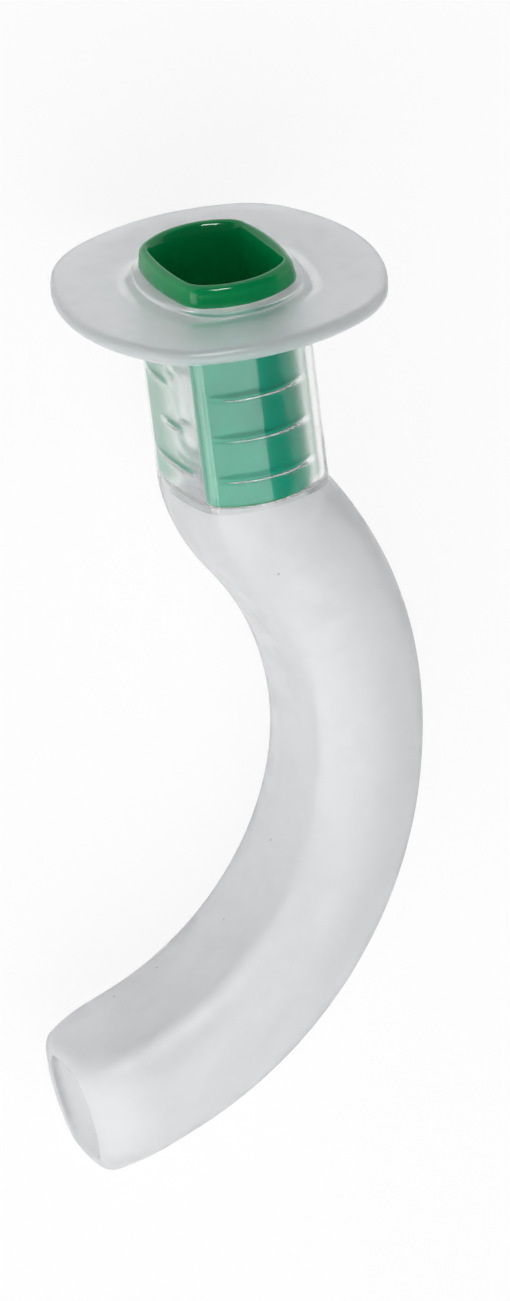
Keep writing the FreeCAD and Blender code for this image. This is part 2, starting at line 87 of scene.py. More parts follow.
# Rings up a wall past a rib: the rib's edge they stand at, how far above it in millimetres, the outline
GROOVE_PROFILE = (
    ("low", -0.5, "plain"), ("low", -0.18, "plain"), ("low", -0.12, "ribbed"),
    ("high", -0.02, "ribbed"), ("high", 0.04, "plain"), ("high", 0.5, "plain"),
)
RIB_PROFILE = (
    ("low", -0.4, "plain"), ("low", -0.02, "plain"), ("low", 0.05, "ribbed"),
    ("high", -0.05, "ribbed"), ("high", 0.02, "plain"), ("high", 0.4, "plain"),
)

# Points on each arc of a section, and rings along each stretch and round each kind of edge
ARC_STEPS = 8
RING = 8 * ARC_STEPS
NECK_STEPS, KNEE_STEPS, CURVE_STEPS, NOSE_STEPS = 10, 8, 44, 9
ROUND_STEPS, ROOT_STEPS, SMALL_STEPS = 6, 5, 3

# Where rings stand across a flat face, as shares of its width, closer together beside its edges
LAND_SHARES = (0.12, 0.9)
FLANGE_SHARES = (0.1, 0.3, 0.5, 0.7, 0.88, 0.96)
UNDERSIDE_SHARES = (0.04, 0.12, 0.3, 0.5, 0.7, 0.9)

# Heights of the plain rings: in the socket, down the way through the block and up its sleeve
SOCKET_HEIGHTS = (-4.0 * MM, -1.0 * MM)
WAY_HEIGHTS = (-0.5 * MM, -4.0 * MM, -9.0 * MM, -14.0 * MM)
SLEEVE_HEIGHTS = (-4.0 * MM, -0.5 * MM)

# Small distances: within a sharp edge, beside an edge, beside a wall's end and along a flat
HAIR, EDGE, FLANK, FLAT = 0.02 * MM, 0.1 * MM, 0.4 * MM, 0.7 * MM

# The slant of the end face starts this many nose lengths before it
SLANT_REACH = 1.5

# The way through is narrowest once this many times its eased share of the nose reaches one
NARROWING = 2.0

# Lamps: place, target, width and height in metres, and power in watts
KEY_SOFTBOX = ((-0.336, -0.33, 0.51), (-0.336, 0.02, 0.012), 1.18, 0.45, 3.2)
BACK_LAMP = ((-0.1, 0.36, 0.36), (0.0, 0.02, 0.012), 0.2, 0.1, 1.7)
SIDE_SOFTBOX = ((-0.75, -0.15, 0.2), (0.0, 0.0, 0.012), 0.5, 0.35, 1.5)

# Light from all round: from the tip's side, from the rim's side, and the share that glass shows
AMBIENT_AT_TIP, AMBIENT_AT_RIM, SHARE_THROUGH_GLASS = 0.8, 0.21, 0.2

# How much of the floor's own shading is covered where the camera sees it
FLOOR_COVER = 0.88

# The photograph's line of sight in the airway's own axes, and its sizes in pixels: the frame, the
# point where the airway's origin stands and the focal length. The distance is in metres.
TO_CAMERA = Vector((0.326, 0.861, 0.391)).normalized()
PHOTO_UP = Vector((-0.254, -0.318, 0.913))
PHOTO_WIDTH, PHOTO_HEIGHT = 510.0, 1301.0
ORIGIN_SEEN_AT = (217.754, 275.774)
FOCAL_LENGTH = 12681.0
CAMERA_DISTANCE = 1.111
SENSOR_WIDTH = 36.0


class AirwaySizes(bpy.types.PropertyGroup):
    """Sizes of the soft moulding and of the bite block."""

    flange_thickness: bpy.props.FloatProperty(
        name="Flange thickness", description="Thickness of the flange's plate",
        default=0.00145, min=0.0005, unit="LENGTH")
    flange_round: bpy.props.FloatProperty(
        name="Flange edge", description="Radius of the flange's rounded edge",
        default=0.0007, min=0.0001, unit="LENGTH")
    land_height: bpy.props.FloatProperty(
        name="Land height", description="Height of the raised land round the rim",
        default=0.00035, min=0.0, unit="LENGTH")
    land_round: bpy.props.FloatProperty(
        name="Land round", description="Radius of the land's edge",
        default=0.0002, min=0.00005, unit="LENGTH")
    neck_length: bpy.props.FloatProperty(
        name="Neck length", description="Length of the straight neck",
        default=0.0193, min=0.005, unit="LENGTH")
    neck_root: bpy.props.FloatProperty(
        name="Neck root", description="Radius between the neck and the flange",
        default=0.0008, min=0.0001, unit="LENGTH")
    knee_radius: bpy.props.FloatProperty(
        name="Knee radius", description="Radius of the knee's turn to the back, on the neck's axis",
        default=0.0075, min=0.001, unit="LENGTH")
    knee_angle: bpy.props.FloatProperty(
        name="Knee angle", description="Turn of the knee to the back",
        default=math.radians(34.8), unit="ROTATION")
    curve_radius: bpy.props.FloatProperty(
        name="Curve radius", description="Radius of the main curve",
        default=0.032, min=0.005, unit="LENGTH")
    curve_angle: bpy.props.FloatProperty(
        name="Curve angle", description="Turn of the main curve to the front",
        default=math.radians(108.2), unit="ROTATION")
    waist_angle: bpy.props.FloatProperty(
        name="Waist angle", description="How far round the curve its thinnest section stands",
        default=math.radians(48.0), unit="ROTATION")
    tip_length: bpy.props.FloatProperty(
        name="Tip length", description="Length of the straight end",
        default=0.0081, min=0.001, unit="LENGTH")
    nose_length: bpy.props.FloatProperty(
        name="Nose length", description="Length over which the end narrows",
        default=0.0052, min=0.001, unit="LENGTH")
    tip_bevel: bpy.props.FloatProperty(
        name="Tip slant", description="Slant of the end face",
        default=math.radians(9.0), unit="ROTATION")
    tip_round: bpy.props.FloatProperty(
        name="Tip round", description="Radius of the end's outer edge",
        default=0.0012, min=0.0001, unit="LENGTH")
    tip_wall: bpy.props.FloatProperty(
        name="Tip wall", description="Wall thickness at the end",
        default=0.00175, min=0.0003, unit="LENGTH")
    mouth_round: bpy.props.FloatProperty(
        name="Mouth round", description="Radius of the end's inner edge",
        default=0.00045, min=0.00005, unit="LENGTH")
    block_wall: bpy.props.FloatProperty(
        name="Block wall", description="Wall thickness of the bite block's sleeve",
        default=0.0009, min=0.0003, unit="LENGTH")
    block_depth: bpy.props.FloatProperty(
        name="Block depth", description="How far the sleeve reaches into the neck",
        default=0.019, min=0.002, unit="LENGTH")
    foot_round: bpy.props.FloatProperty(
        name="Foot round", description="Radius of the outer edge of the sleeve's foot",
        default=0.0003, min=0.00005, unit="LENGTH")
    rim_height: bpy.props.FloatProperty(
        name="Rim height", description="Height of the rim over the land",
        default=0.0019, min=0.0005, unit="LENGTH")
    rim_round: bpy.props.FloatProperty(
        name="Rim round", description="Width of the rounding of the rim's outer edge",
        default=0.0006, min=0.0001, unit="LENGTH")
    rim_shoulder: bpy.props.FloatProperty(
        name="Rim shoulder", description="How far down the rounding of the rim's outer edge reaches",
        default=0.0008, min=0.0001, unit="LENGTH")
    rim_draft: bpy.props.FloatProperty(
        name="Rim draft", description="How much wider the rim is at its foot than at its shoulder",
        default=0.0002, min=0.0, unit="LENGTH")
    rim_throat: bpy.props.FloatProperty(
        name="Rim throat", description="How far down the rounding of the rim's inner edge reaches",
        default=0.0018, min=0.0001, unit="LENGTH")
    rib_depth: bpy.props.FloatProperty(
        name="First rib", description="Depth of the first rib in the neck",
        default=0.0081, min=0.001, unit="LENGTH")
    rib_spacing: bpy.props.FloatProperty(
        name="Rib spacing", description="Distance from rib to rib",
        default=0.0039, min=0.001, unit="LENGTH")
    rib_height: bpy.props.FloatProperty(
        name="Rib height", description="How far a rib stands out of the sleeve",
        default=0.00025, min=0.00005, unit="LENGTH")
    rib_thickness: bpy.props.FloatProperty(
        name="Rib thickness", description="Thickness of a rib along the neck",
        default=0.0004, min=0.00005, unit="LENGTH")
    rib_press: bpy.props.FloatProperty(
        name="Rib press", description="How far a rib's crest reaches into its groove's wall",
        default=0.00001, min=0.0, unit="LENGTH")
    fit_gap: bpy.props.FloatProperty(
        name="Fit gap", description="Air between the sleeve and its socket",
        default=0.00003, min=0.000005, unit="LENGTH")


class AirwayFinish(bpy.types.PropertyGroup):
    """Colours of the two plastics."""

    soft_colour: bpy.props.FloatVectorProperty(
        name="Frosted plastic", description="Colour of the moulding on the knee, curve and tip",
        default=(0.97, 0.975, 0.985), subtype="COLOR", min=0.0, max=1.0)
    flange_colour: bpy.props.FloatVectorProperty(
        name="Flange", description="Colour of the moulding on the flange",
        default=(0.92, 0.93, 0.945), subtype="COLOR", min=0.0, max=1.0)
    clear_colour: bpy.props.FloatVectorProperty(
        name="Clear plastic", description="Colour of the moulding on the neck and in its socket",
        default=(0.95, 0.96, 0.95), subtype="COLOR", min=0.0, max=1.0)
    block_colour: bpy.props.FloatVectorProperty(
        name="Bite block", description="Colour of the bite block",
        default=(0.0, 0.34, 0.1), subtype="COLOR", min=0.0, max=1.0)
    sleeve_colour: bpy.props.FloatVectorProperty(
        name="Sleeve", description="Colour of the bite block where it stands in the neck",
        default=(0.0, 0.43, 0.265), subtype="COLOR", min=0.0, max=1.0)


def deselect_all():
    """Nothing is selected, so that an operator acts only on what it makes."""
    for one in bpy.context.selected_objects:
        one.select_set(False)


def section(shape, grow=0.0):
    """Points round a section of eight tangent arcs, in metres, from the hollow side on."""
    half_depth, half_width, face_radius, side_radius, corner_radius = (
        size * MM + grow for size in shape)
    face_x = half_depth - face_radius
    side_y = half_width - side_radius
    apart = math.hypot(face_x, side_y)
    to_face = face_radius - corner_radius
    to_side = side_radius - corner_radius
    along = (to_face ** 2 - to_side ** 2 + apart ** 2) / (2 * apart)
    across = math.sqrt(to_face ** 2 - along ** 2)
    unit_x, unit_y = -face_x / apart, side_y / apart
    corner_x, corner_y = max(
        ((face_x + along * unit_x - sign * across * unit_y,
          along * unit_y + sign * across * unit_x) for sign in (1, -1)), key=sum)
    face_turn = math.atan2(corner_y, corner_x - face_x)
    side_turn = math.atan2(corner_y - side_y, corner_x)
    half, whole = math.pi, 2 * math.pi
    arcs = [
        (face_x, 0, face_radius, -face_turn, face_turn),
        (corner_x, corner_y, corner_radius, face_turn, side_turn),
        (0, side_y, side_radius, side_turn, half - side_turn),
        (-corner_x, corner_y, corner_radius, half - side_turn, half - face_turn),
        (-face_x, 0, face_radius, half - face_turn, half + face_turn),
        (-corner_x, -corner_y, corner_radius, half + face_turn, half + side_turn),
        (0, -side_y, side_radius, half + side_turn, whole - side_turn),
        (corner_x, -corner_y, corner_radius, whole - side_turn, whole - face_turn),
    ]
    points = []
    for centre_x, centre_y, radius, start, end in arcs:
        for step in range(ARC_STEPS):
            turn = start + (end - start) * step / ARC_STEPS
            points.append((centre_x + radius * math.cos(turn), centre_y + radius * math.sin(turn)))
    return points


def between(first, second, share):
    """A point part of the way from one point to another."""
    return first[0] + (second[0] - first[0]) * share, first[1] + (second[1] - first[1]) * share


def blend(first, second, share):
    """Points part of the way from one outline to another."""
    return [between(start, end, share) for start, end in zip(first, second)]


def pressed(loose, tight, arcs):
    """Points of one outline, carried to a second one where a rib presses on the wall."""
    points = []
    for start, end in zip(loose, tight):
        turn = math.degrees(math.atan2(start[1], start[0]))
        inside = max(half - abs((turn - middle + 180) % 360 - 180) for middle, half in arcs)
        points.append(between(start, end, min(1.0, max(0.0, 0.5 + inside / PRESS_FADE))))
    return points


def mixed(first, second, share):
    """Section sizes part of the way from one section to another."""
    return tuple(a + (b - a) * share for a, b in zip(first, second))


def ease(share):
    """A share that starts and ends level, so that stretches of the tube meet smoothly."""
    return share * share * (3 - 2 * share)


def line_point(sizes, distance):
    """A point of the tube's centre line, and the heading there, at a distance below the flange."""
    if distance <= sizes.neck_length:
        return 0.0, -distance, 0.0
    distance -= sizes.neck_length
    knee_run = sizes.knee_radius * sizes.knee_angle
    if distance <= knee_run:
        turn = distance / sizes.knee_radius
        return (-sizes.knee_radius * (1 - math.cos(turn)),
                -sizes.neck_length - sizes.knee_radius * math.sin(turn), -turn)
    distance -= knee_run
    start_x = -sizes.knee_radius * (1 - math.cos(sizes.knee_angle))
    start_z = -sizes.neck_length - sizes.knee_radius * math.sin(sizes.knee_angle)
    turn = min(distance / sizes.curve_radius, sizes.curve_angle)
    heading = turn - sizes.knee_angle
    x = start_x + sizes.curve_radius * (math.cos(sizes.knee_angle) - math.cos(heading))
    z = start_z - sizes.curve_radius * (math.sin(sizes.knee_angle) + math.sin(heading))
    past = distance - sizes.curve_radius * turn
    return x + past * math.sin(heading), z - past * math.cos(heading), heading


def tube_runs(sizes):
    """Distances below the flange where the knee, curve, waist, shoulder and end stand."""
    knee = sizes.neck_length
    curve = knee + sizes.knee_radius * sizes.knee_angle
    waist = curve + sizes.curve_radius * sizes.waist_angle
    shoulder = curve + sizes.curve_radius * sizes.curve_angle + sizes.tip_length - sizes.nose_length
    return knee, curve, waist, shoulder, shoulder + sizes.nose_length


def tube_section(sizes, distance):
    """Section sizes of the tube's outside at a distance below the flange."""
    _, curve, waist, shoulder, end = tube_runs(sizes)
    if distance <= curve:
        return NECK
    if distance <= waist:
        return mixed(NECK, WAIST, ease((distance - curve) / (waist - curve)))
    if distance <= shoulder:
        return mixed(WAIST, SHOULDER, ease((distance - waist) / (shoulder - waist)))
    share = (distance - shoulder) / (end - shoulder)
    middle = 4 * share * (1 - share)
    near = mixed(SHOULDER, TIP, share)
    half_way = mixed(SHOULDER, TIP, 0.5)
    return tuple(size + (bulge - half) * middle
                 for size, bulge, half in zip(near, NOSE, half_way))


def flat_ring(points, height):
    """A ring across the neck's axis: its points in space, and the same with the distance below."""
    return ([Vector((x, y, height)) for x, y in points],
            [Vector((x, y, -height)) for x, y in points])


def tube_ring(sizes, points, distance):
    """A ring across the tube's line, tilted towards the slant of the end face near the end."""
    x, z, heading = line_point(sizes, distance)
    end = tube_runs(sizes)[-1]
    share = max(0.0, 1 - (end - distance) / (SLANT_REACH * sizes.nose_length))
    tilt = math.tan(sizes.tip_bevel) * share
    places, flow = [], []
    for front, side in points:
        ahead = -front * tilt
        places.append(Vector((x + front * math.cos(heading) + ahead * math.sin(heading), side,
                              z + front * math.sin(heading) - ahead * math.cos(heading))))
        flow.append(Vector((front, side, distance + ahead)))
    return places, flow


def quarter(steps):
    """Sines and cosines round a quarter turn, from its start to its end."""
    return [(math.sin(math.pi / 2 * step / steps), math.cos(math.pi / 2 * step / steps))
            for step in range(steps + 1)]


def spread(start, end, steps):
    """Evenly spaced values from start up to, but without, end."""
    return [start + (end - start) * step / steps for step in range(steps)]


def past_rib(sizes, rib, plain, ribbed, profile):
    """Rings up a wall past one rib, which stands out, or is let in, where the rib presses."""
    high = -sizes.rib_depth - rib * sizes.rib_spacing
    edges = {"low": high - sizes.rib_thickness, "high": high}
    outlines = {"plain": plain, "ribbed": pressed(plain, ribbed, RIB_CONTACT[rib])}
    return [flat_ring(outlines[outline], edges[edge] + above * MM)
            for edge, above, outline in profile]


def loft(name, rings):
    """A closed skin: a circle shaped to the first ring, extruded from ring to ring, bridged shut."""
    deselect_all()
    bpy.ops.mesh.primitive_circle_add(vertices=RING)
    piece = bpy.context.object
    piece.name = piece.data.name = name
    bpy.ops.object.mode_set(mode="EDIT")
    for number, (places, _) in enumerate(rings):
        if number:
            bpy.ops.mesh.extrude_edges_indiv()
        skin = bmesh.from_edit_mesh(piece.data)
        skin.verts.ensure_lookup_table()
        for corner, place in enumerate(places):
            skin.verts[number * RING + corner].co = place
        bmesh.update_edit_mesh(piece.data)
    skin = bmesh.from_edit_mesh(piece.data)
    last = (len(rings) - 1) * RING
    for edge in skin.edges:
        ends = [vert.index for vert in edge.verts]
        edge.select_set(max(ends) < RING or min(ends) >= last)
    bmesh.update_edit_mesh(piece.data)
    bpy.ops.mesh.bridge_edge_loops()
    bpy.ops.mesh.select_all(action="SELECT")
    bpy.ops.mesh.normals_make_consistent(inside=False)
    bpy.ops.object.mode_set(mode="OBJECT")
    flows = piece.data.attributes.new("flow", "FLOAT_VECTOR", "POINT")
    flows.data.foreach_set("vector", [size for _, flow in rings for point in flow for size in point])
    return piece


def dress(piece, zones, finishes):
    """Give each face the finish of the ring that it leads to, and the closing faces the first one."""
    order = list(finishes)
    for material in finishes.values():
        piece.data.materials.append(material)
    for face in piece.data.polygons:
        numbers = sorted({vertex // RING for vertex in face.vertices})
        leads_to = numbers[-1] if numbers[-1] - numbers[0] == 1 else 0
        face.material_index = order.index(zones[leads_to])


def finish_mesh(piece):
    """Smooth the skin, and lay it down in the row frame with its place in its mesh."""
    rounding = piece.modifiers.new("rounding", "SUBSURF")
    rounding.levels = rounding.render_levels = 1
    bpy.ops.object.modifier_apply(modifier=rounding.name)
    piece.data.transform(RESTING)
    bpy.ops.object.shade_smooth()


def coat_node(name, material):
    """Give a CAD node the material of the piece that stands in for it."""
    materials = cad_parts[name].data.materials
    materials.clear()
    materials.append(material)


def node(tree, kind, **sockets):
    """A new node whose inputs are set or linked by name, or by number after an underscore."""
    made = tree.nodes.new(kind)
    for key, value in sockets.items():
        socket = made.inputs[int(key[1:])] if key[0] == "_" else made.inputs[key.replace("_", " ")]
        if isinstance(value, bpy.types.NodeSocket):
            tree.links.new(value, socket)
        else:
            socket.default_value = value
    return made


def maths(tree, operation, first, second, third=0.0):
    """The output of a Math node."""
    made = node(tree, "ShaderNodeMath", _0=first, _1=second, _2=third)
    made.operation = operation
    return made.outputs[0]


def ramp(tree, value, low, high, start, end):
    """A value carried smoothly from one range to another."""
    made = node(tree, "ShaderNodeMapRange", Value=value, From_Min=low, From_Max=high,
                To_Min=start, To_Max=end)
    made.interpolation_type = "SMOOTHSTEP"
    return made.outputs["Result"]


def colour_mix(tree, share, first, second):
    """The output of a colour Mix node."""
    made = tree.nodes.new("ShaderNodeMix")
    made.data_type = "RGBA"
    for index, value in ((0, share), (6, first), (7, second)):
        if isinstance(value, bpy.types.NodeSocket):
            tree.links.new(value, made.inputs[index])
        else:
            made.inputs[index].default_value = value
    return made.outputs[2]


def group_sockets(group, inputs, outputs):
    """Name the inputs, with their values, and the outputs of a node group."""
    for name, kind, value in inputs:
        socket = group.interface.new_socket(name, in_out="INPUT", socket_type=kind)
        if value is not None:
            socket.default_value = value
    for name, kind in outputs:
        group.interface.new_socket(name, in_out="OUTPUT", socket_type=kind)
    return group.nodes.new("NodeGroupInput"), group.nodes.new("NodeGroupOutput")


def noise(tree, vector, scale, detail):
    """The output of a Noise texture."""
    made = node(tree, "ShaderNodeTexNoise", Vector=vector, Scale=scale, Detail=detail)
    return made.outputs["Fac"]


def moulded_surface():
    """Node group: the soft unevenness, fine grain and stray specks of a moulded plastic."""
    group = bpy.data.node_groups.new("moulded surface", "ShaderNodeTree")
    source, result = group_sockets(
        group,
        [("Vector", "NodeSocketVector", None), ("Grain", "NodeSocketFloat", 0.2),
         ("Waves", "NodeSocketFloat", 0.3)],
        [("Height", "NodeSocketFloat"), ("Mottle", "NodeSocketFloat"),
         ("Specks", "NodeSocketFloat")])
    vector = source.outputs["Vector"]
    rough = maths(group, "MULTIPLY", noise(group, vector, 5200.0, 3.0), source.outputs["Grain"])
    soft = maths(group, "MULTIPLY", noise(group, vector, 170.0, 2.0), source.outputs["Waves"])
    group.links.new(maths(group, "ADD", rough, soft), result.inputs["Height"])
    mottle = ramp(group, noise(group, vector, 420.0, 4.0), 0.35, 0.7, 0.0, 1.0)
    group.links.new(mottle, result.inputs["Mottle"])

    # A few of the cells hold a speck at their middle
    cells = node(group, "ShaderNodeTexVoronoi", Vector=vector, Scale=330.0)
    lot = node(group, "ShaderNodeSeparateColor", Color=cells.outputs["Color"]).outputs[0]
    chosen = maths(group, "GREATER_THAN", lot, 0.93)
    dots = maths(group, "LESS_THAN", cells.outputs["Distance"], 0.055)
    group.links.new(maths(group, "MULTIPLY", chosen, dots), result.inputs["Specks"])
    return group


def new_material(name):
    """A node material with its surface shader, and the flow coordinates of the piece it is on."""
    material = bpy.data.materials.new(name)
    material.use_nodes = True
    tree = material.node_tree
    flow = tree.nodes.new("ShaderNodeAttribute")
    flow.attribute_name = "flow"
    return material, tree, tree.nodes["Principled BSDF"], flow.outputs["Vector"]


def put_surface(tree, surface, flow, grain, waves):
    """The moulded surface's node group, placed in a material."""
    made = tree.nodes.new("ShaderNodeGroup")
    made.node_tree = surface
    tree.links.new(flow, made.inputs["Vector"])
    made.inputs["Grain"].default_value = grain
    made.inputs["Waves"].default_value = waves
    return made.outputs


def mottled(tree, marks, colour, strength, darkening):
    """A colour that is darker in patches."""
    share = maths(tree, "MULTIPLY", marks["Mottle"], strength)
    return colour_mix(tree, share, (*colour, 1.0), (*(size * darkening for size in colour), 1.0))


def uneven(tree, shader, marks, roughness, unevenness, bump_strength, bump_height):
    """Roughness that grows in patches, and a fine relief."""
    rough = maths(tree, "MULTIPLY_ADD", marks["Mottle"], unevenness, roughness)
    tree.links.new(rough, shader.inputs["Roughness"])
    bump = node(tree, "ShaderNodeBump", Height=marks["Height"], Strength=bump_strength,
                Distance=bump_height)
    tree.links.new(bump.outputs["Normal"], shader.inputs["Normal"])


def soft_plastic(name, surface, colour, haze, transmission, roughness, unevenness, grain):
    """One of the moulding's finishes: clear on the neck, frosted elsewhere."""
    material, tree, shader, flow = new_material(name)
    marks = put_surface(tree, surface, flow, grain, waves=0.6)
    specks = maths(tree, "MULTIPLY", marks["Specks"], 0.5)
    tint = mottled(tree, marks, colour, haze, darkening=0.9)
    dirt = colour_mix(tree, specks, tint, (0.25, 0.27, 0.24, 1.0))
    tree.links.new(dirt, shader.inputs["Base Color"])
    uneven(tree, shader, marks, roughness, unevenness, bump_strength=0.25, bump_height=0.08 * MM)
    shader.inputs["Transmission Weight"].default_value = transmission
    shader.inputs["IOR"].default_value = 1.47
    return material


def block_plastic(name, surface, colour):
    """The bite block's hard, glossy green, with fine marks from its mould."""
    material, tree, shader, flow = new_material(name)
    marks = put_surface(tree, surface, flow, grain=0.05, waves=0.5)
    tint = mottled(tree, marks, colour, strength=0.5, darkening=0.88)
    tree.links.new(tint, shader.inputs["Base Color"])
    uneven(tree, shader, marks, 0.08, 0.06, bump_strength=0.15, bump_height=0.05 * MM)
    shader.inputs["IOR"].default_value = 1.49
    shader.inputs["Specular IOR Level"].default_value = 0.3
    return material


def shell_rings(sizes):
    """Rings of the soft moulding, and for each the finish of the faces that lead to it."""
    rings, zones = [], []

    def add(ring, zone):
        rings.append(ring)
        zones.append(zone)

    def add_tube(zone, distance, grow=0.0):
        outline = section(tube_section(sizes, distance), grow)
        add(tube_ring(sizes, outline, distance), zone)

    socket_wall = sizes.block_wall + sizes.fit_gap
    socket, way = section(LUMEN, socket_wall), section(LUMEN)
    land, land_top = section(LAND), section(LAND, -sizes.land_round)
    top, under = sizes.land_height, -sizes.flange_thickness
    knee, curve, _, shoulder, end = tube_runs(sizes)

    # The land, then the flange's face, edge and underside, and the neck's root
    for share in LAND_SHARES:
        add(flat_ring(blend(socket, land_top, share), top), "flange")
    for sine, cosine in quarter(SMALL_STEPS):
        add(flat_ring(section(LAND, -sizes.land_round * (1 - sine)),
                      top - sizes.land_round * (1 - cosine)), "flange")
    add(flat_ring(section(LAND, HAIR), 2 * HAIR), "flange")
    add(flat_ring(section(LAND, EDGE + HAIR), 0.0), "flange")
    inner_edge = section(FLANGE, -sizes.flange_round)
    for share in FLANGE_SHARES:
        add(flat_ring(blend(land, inner_edge, share), 0.0), "flange")
    for sine, cosine in quarter(ROUND_STEPS):
        add(flat_ring(section(FLANGE, -sizes.flange_round * (1 - sine)),
                      -sizes.flange_round * (1 - cosine)), "flange")
    for sine, cosine in quarter(ROUND_STEPS):
        add(flat_ring(section(FLANGE, -sizes.flange_round * (1 - cosine)),
                      under + sizes.flange_round * (1 - sine)), "flange")
    root = section(NECK, sizes.neck_root)
    for share in UNDERSIDE_SHARES:
        add(flat_ring(blend(inner_edge, root, share), under), "flange")
    for sine, cosine in quarter(ROOT_STEPS):
        add(flat_ring(section(NECK, sizes.neck_root * (1 - sine)),
                      under - sizes.neck_root * (1 - cosine)), "clear")

    # Neck, knee, curve and the rounded, slanted end
    for distance in spread(sizes.neck_root - under + FLANK, knee, NECK_STEPS) + [knee]:
        add_tube("clear", distance)
    for distance in spread(knee, curve, KNEE_STEPS)[1:]:
        add_tube("frosted", distance)
    for distance in spread(curve, shoulder, CURVE_STEPS):
        add_tube("frosted", distance)
    rounded = end - sizes.tip_round
    for distance in spread(shoulder, rounded, NOSE_STEPS):
        add_tube("frosted", distance)
    for sine, cosine in quarter(ROUND_STEPS):
        add_tube("frosted", rounded + sizes.tip_round * sine, -sizes.tip_round * (1 - cosine))

    # The mouth, and the way back through the nose, curve and knee
    for sine, cosine in quarter(SMALL_STEPS):
        add_tube("frosted", end - sizes.mouth_round * (1 - cosine),
                 -sizes.tip_wall + sizes.mouth_round * (1 - sine))
    behind_mouth = end - sizes.mouth_round - EDGE - 2.5 * HAIR
    for distance in reversed(spread(shoulder, behind_mouth, NOSE_STEPS - 1)):
        share = ease((distance - shoulder) / (end - shoulder))
        narrow = section(tube_section(sizes, distance), -sizes.tip_wall)
        outline = blend(way, narrow, min(1.0, NARROWING * share))
        add(tube_ring(sizes, outline, distance), "frosted")
    for distance in reversed(spread(curve, shoulder, CURVE_STEPS) + [shoulder]):
        add(tube_ring(sizes, way, distance), "frosted")
    for distance in reversed(spread(knee, curve, KNEE_STEPS)):
        add(tube_ring(sizes, way, distance), "frosted")

    # The socket: its floor, a groove for each rib, which the rib fills to its crest, and its mouth
    floor = -sizes.block_depth - sizes.fit_gap
    add(flat_ring(section(LUMEN, HAIR), floor - 1.5 * HAIR), "frosted")
    add(flat_ring(section(LUMEN, EDGE), floor), "frosted")
    add(flat_ring(section(LUMEN, socket_wall - EDGE), floor), "frosted")
    add(flat_ring(socket, floor + EDGE), "socket")
    groove = section(LUMEN, sizes.block_wall + sizes.rib_height - sizes.rib_press)
    for rib in reversed(range(len(RIB_CONTACT))):
        for ring in past_rib(sizes, rib, socket, groove, GROOVE_PROFILE):
            add(ring, "socket")
    for height in (*SOCKET_HEIGHTS, top - 2 * EDGE, top - 1.5 * HAIR):
        add(flat_ring(socket, height), "socket")
    return rings, zones


def block_rings(sizes):
    """Rings of the bite block, and for each the finish of the faces that lead to it."""
    base = sizes.land_height
    crest = base + sizes.rim_height
    foot = -sizes.block_depth
    way, sleeve = section(LUMEN), section(LUMEN, sizes.block_wall)

    # The rim's outside, from its foot on the land to the crest, and the lip down into the way
    first = [flat_ring(section(RIM, sizes.rim_draft - EDGE - HAIR), base)]
    rim = [flat_ring(section(RIM, sizes.rim_draft), base + EDGE),
           flat_ring(section(RIM, sizes.rim_draft / 2),
                     base + (sizes.rim_height - sizes.rim_shoulder) / 2)]
    for sine, cosine in quarter(ROUND_STEPS):
        rim.append(flat_ring(section(RIM, -sizes.rim_round * (1 - cosine)),
                             crest - sizes.rim_shoulder * (1 - sine)))
    for sine, cosine in quarter(ROUND_STEPS):
        rim.append(flat_ring(blend(section(LIP), way, sine),
                             crest - sizes.rim_throat * (1 - cosine)))

    # The way through, and the foot
    below_throat = crest - sizes.rim_throat - 3 * EDGE
    for height in (below_throat, *WAY_HEIGHTS, foot + 2 * FLANK, foot + EDGE):
        rim.append(flat_ring(way, height))
    rim.append(flat_ring(section(LUMEN, EDGE), foot))
    for sine, cosine in quarter(SMALL_STEPS):
        rim.append(flat_ring(section(LUMEN, sizes.block_wall - sizes.foot_round * (1 - sine)),
                             foot + sizes.foot_round * (1 - cosine)))

    # The sleeve's outside with its ribs, up to the rim's underside
    outside = [flat_ring(sleeve, foot + FLAT)]
    rib_crest = section(LUMEN, sizes.block_wall + sizes.rib_height)
    for rib in reversed(range(len(RIB_CONTACT))):
        outside += past_rib(sizes, rib, sleeve, rib_crest, RIB_PROFILE)
    for height in (*SLEEVE_HEIGHTS, base - EDGE):
        outside.append(flat_ring(sleeve, height))
    outside.append(flat_ring(section(LUMEN, sizes.block_wall + EDGE), base))
    zones = ["sleeve"] + ["rim"] * len(rim) + ["sleeve"] * len(outside)
    return first + rim + outside, zones


class AIRWAY_OT_moulding(bpy.types.Operator):
    """Model the soft moulding: flange, neck, knee, curve and tip, with the way through."""

    bl_idname = "airway.moulding"
    bl_label = "Soft moulding"

    def execute(self, context):
        sizes, finish = context.scene.airway_sizes, context.scene.airway_finish
        surface = moulded_surface()
        finishes = {
            "frosted": soft_plastic(
                "frosted_plastic", surface, finish.soft_colour, haze=0.5, transmission=0.7,
                roughness=0.42, unevenness=0.12, grain=0.35),
            "flange": soft_plastic(
                "milky_plastic", surface, finish.flange_colour, haze=0.5, transmission=0.73,
                roughness=0.31, unevenness=0.06, grain=0.08),
            "clear": soft_plastic(
                "clear_plastic", surface, finish.clear_colour, haze=0.3, transmission=1.0,
                roughness=0.02, unevenness=0.02, grain=0.03),
            "socket": soft_plastic(
                "socket_plastic", surface, finish.clear_colour, haze=0.3, transmission=1.0,
                roughness=0.13, unevenness=0.06, grain=0.1),
        }
        rings, zones = shell_rings(sizes)
        shell = loft("airway_shell", rings)
        dress(shell, zones, finishes)
        finish_mesh(shell)
        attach(shell, "root")
        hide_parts("airway_body")
        coat_node("airway_body", finishes["frosted"])
        return {"FINISHED"}


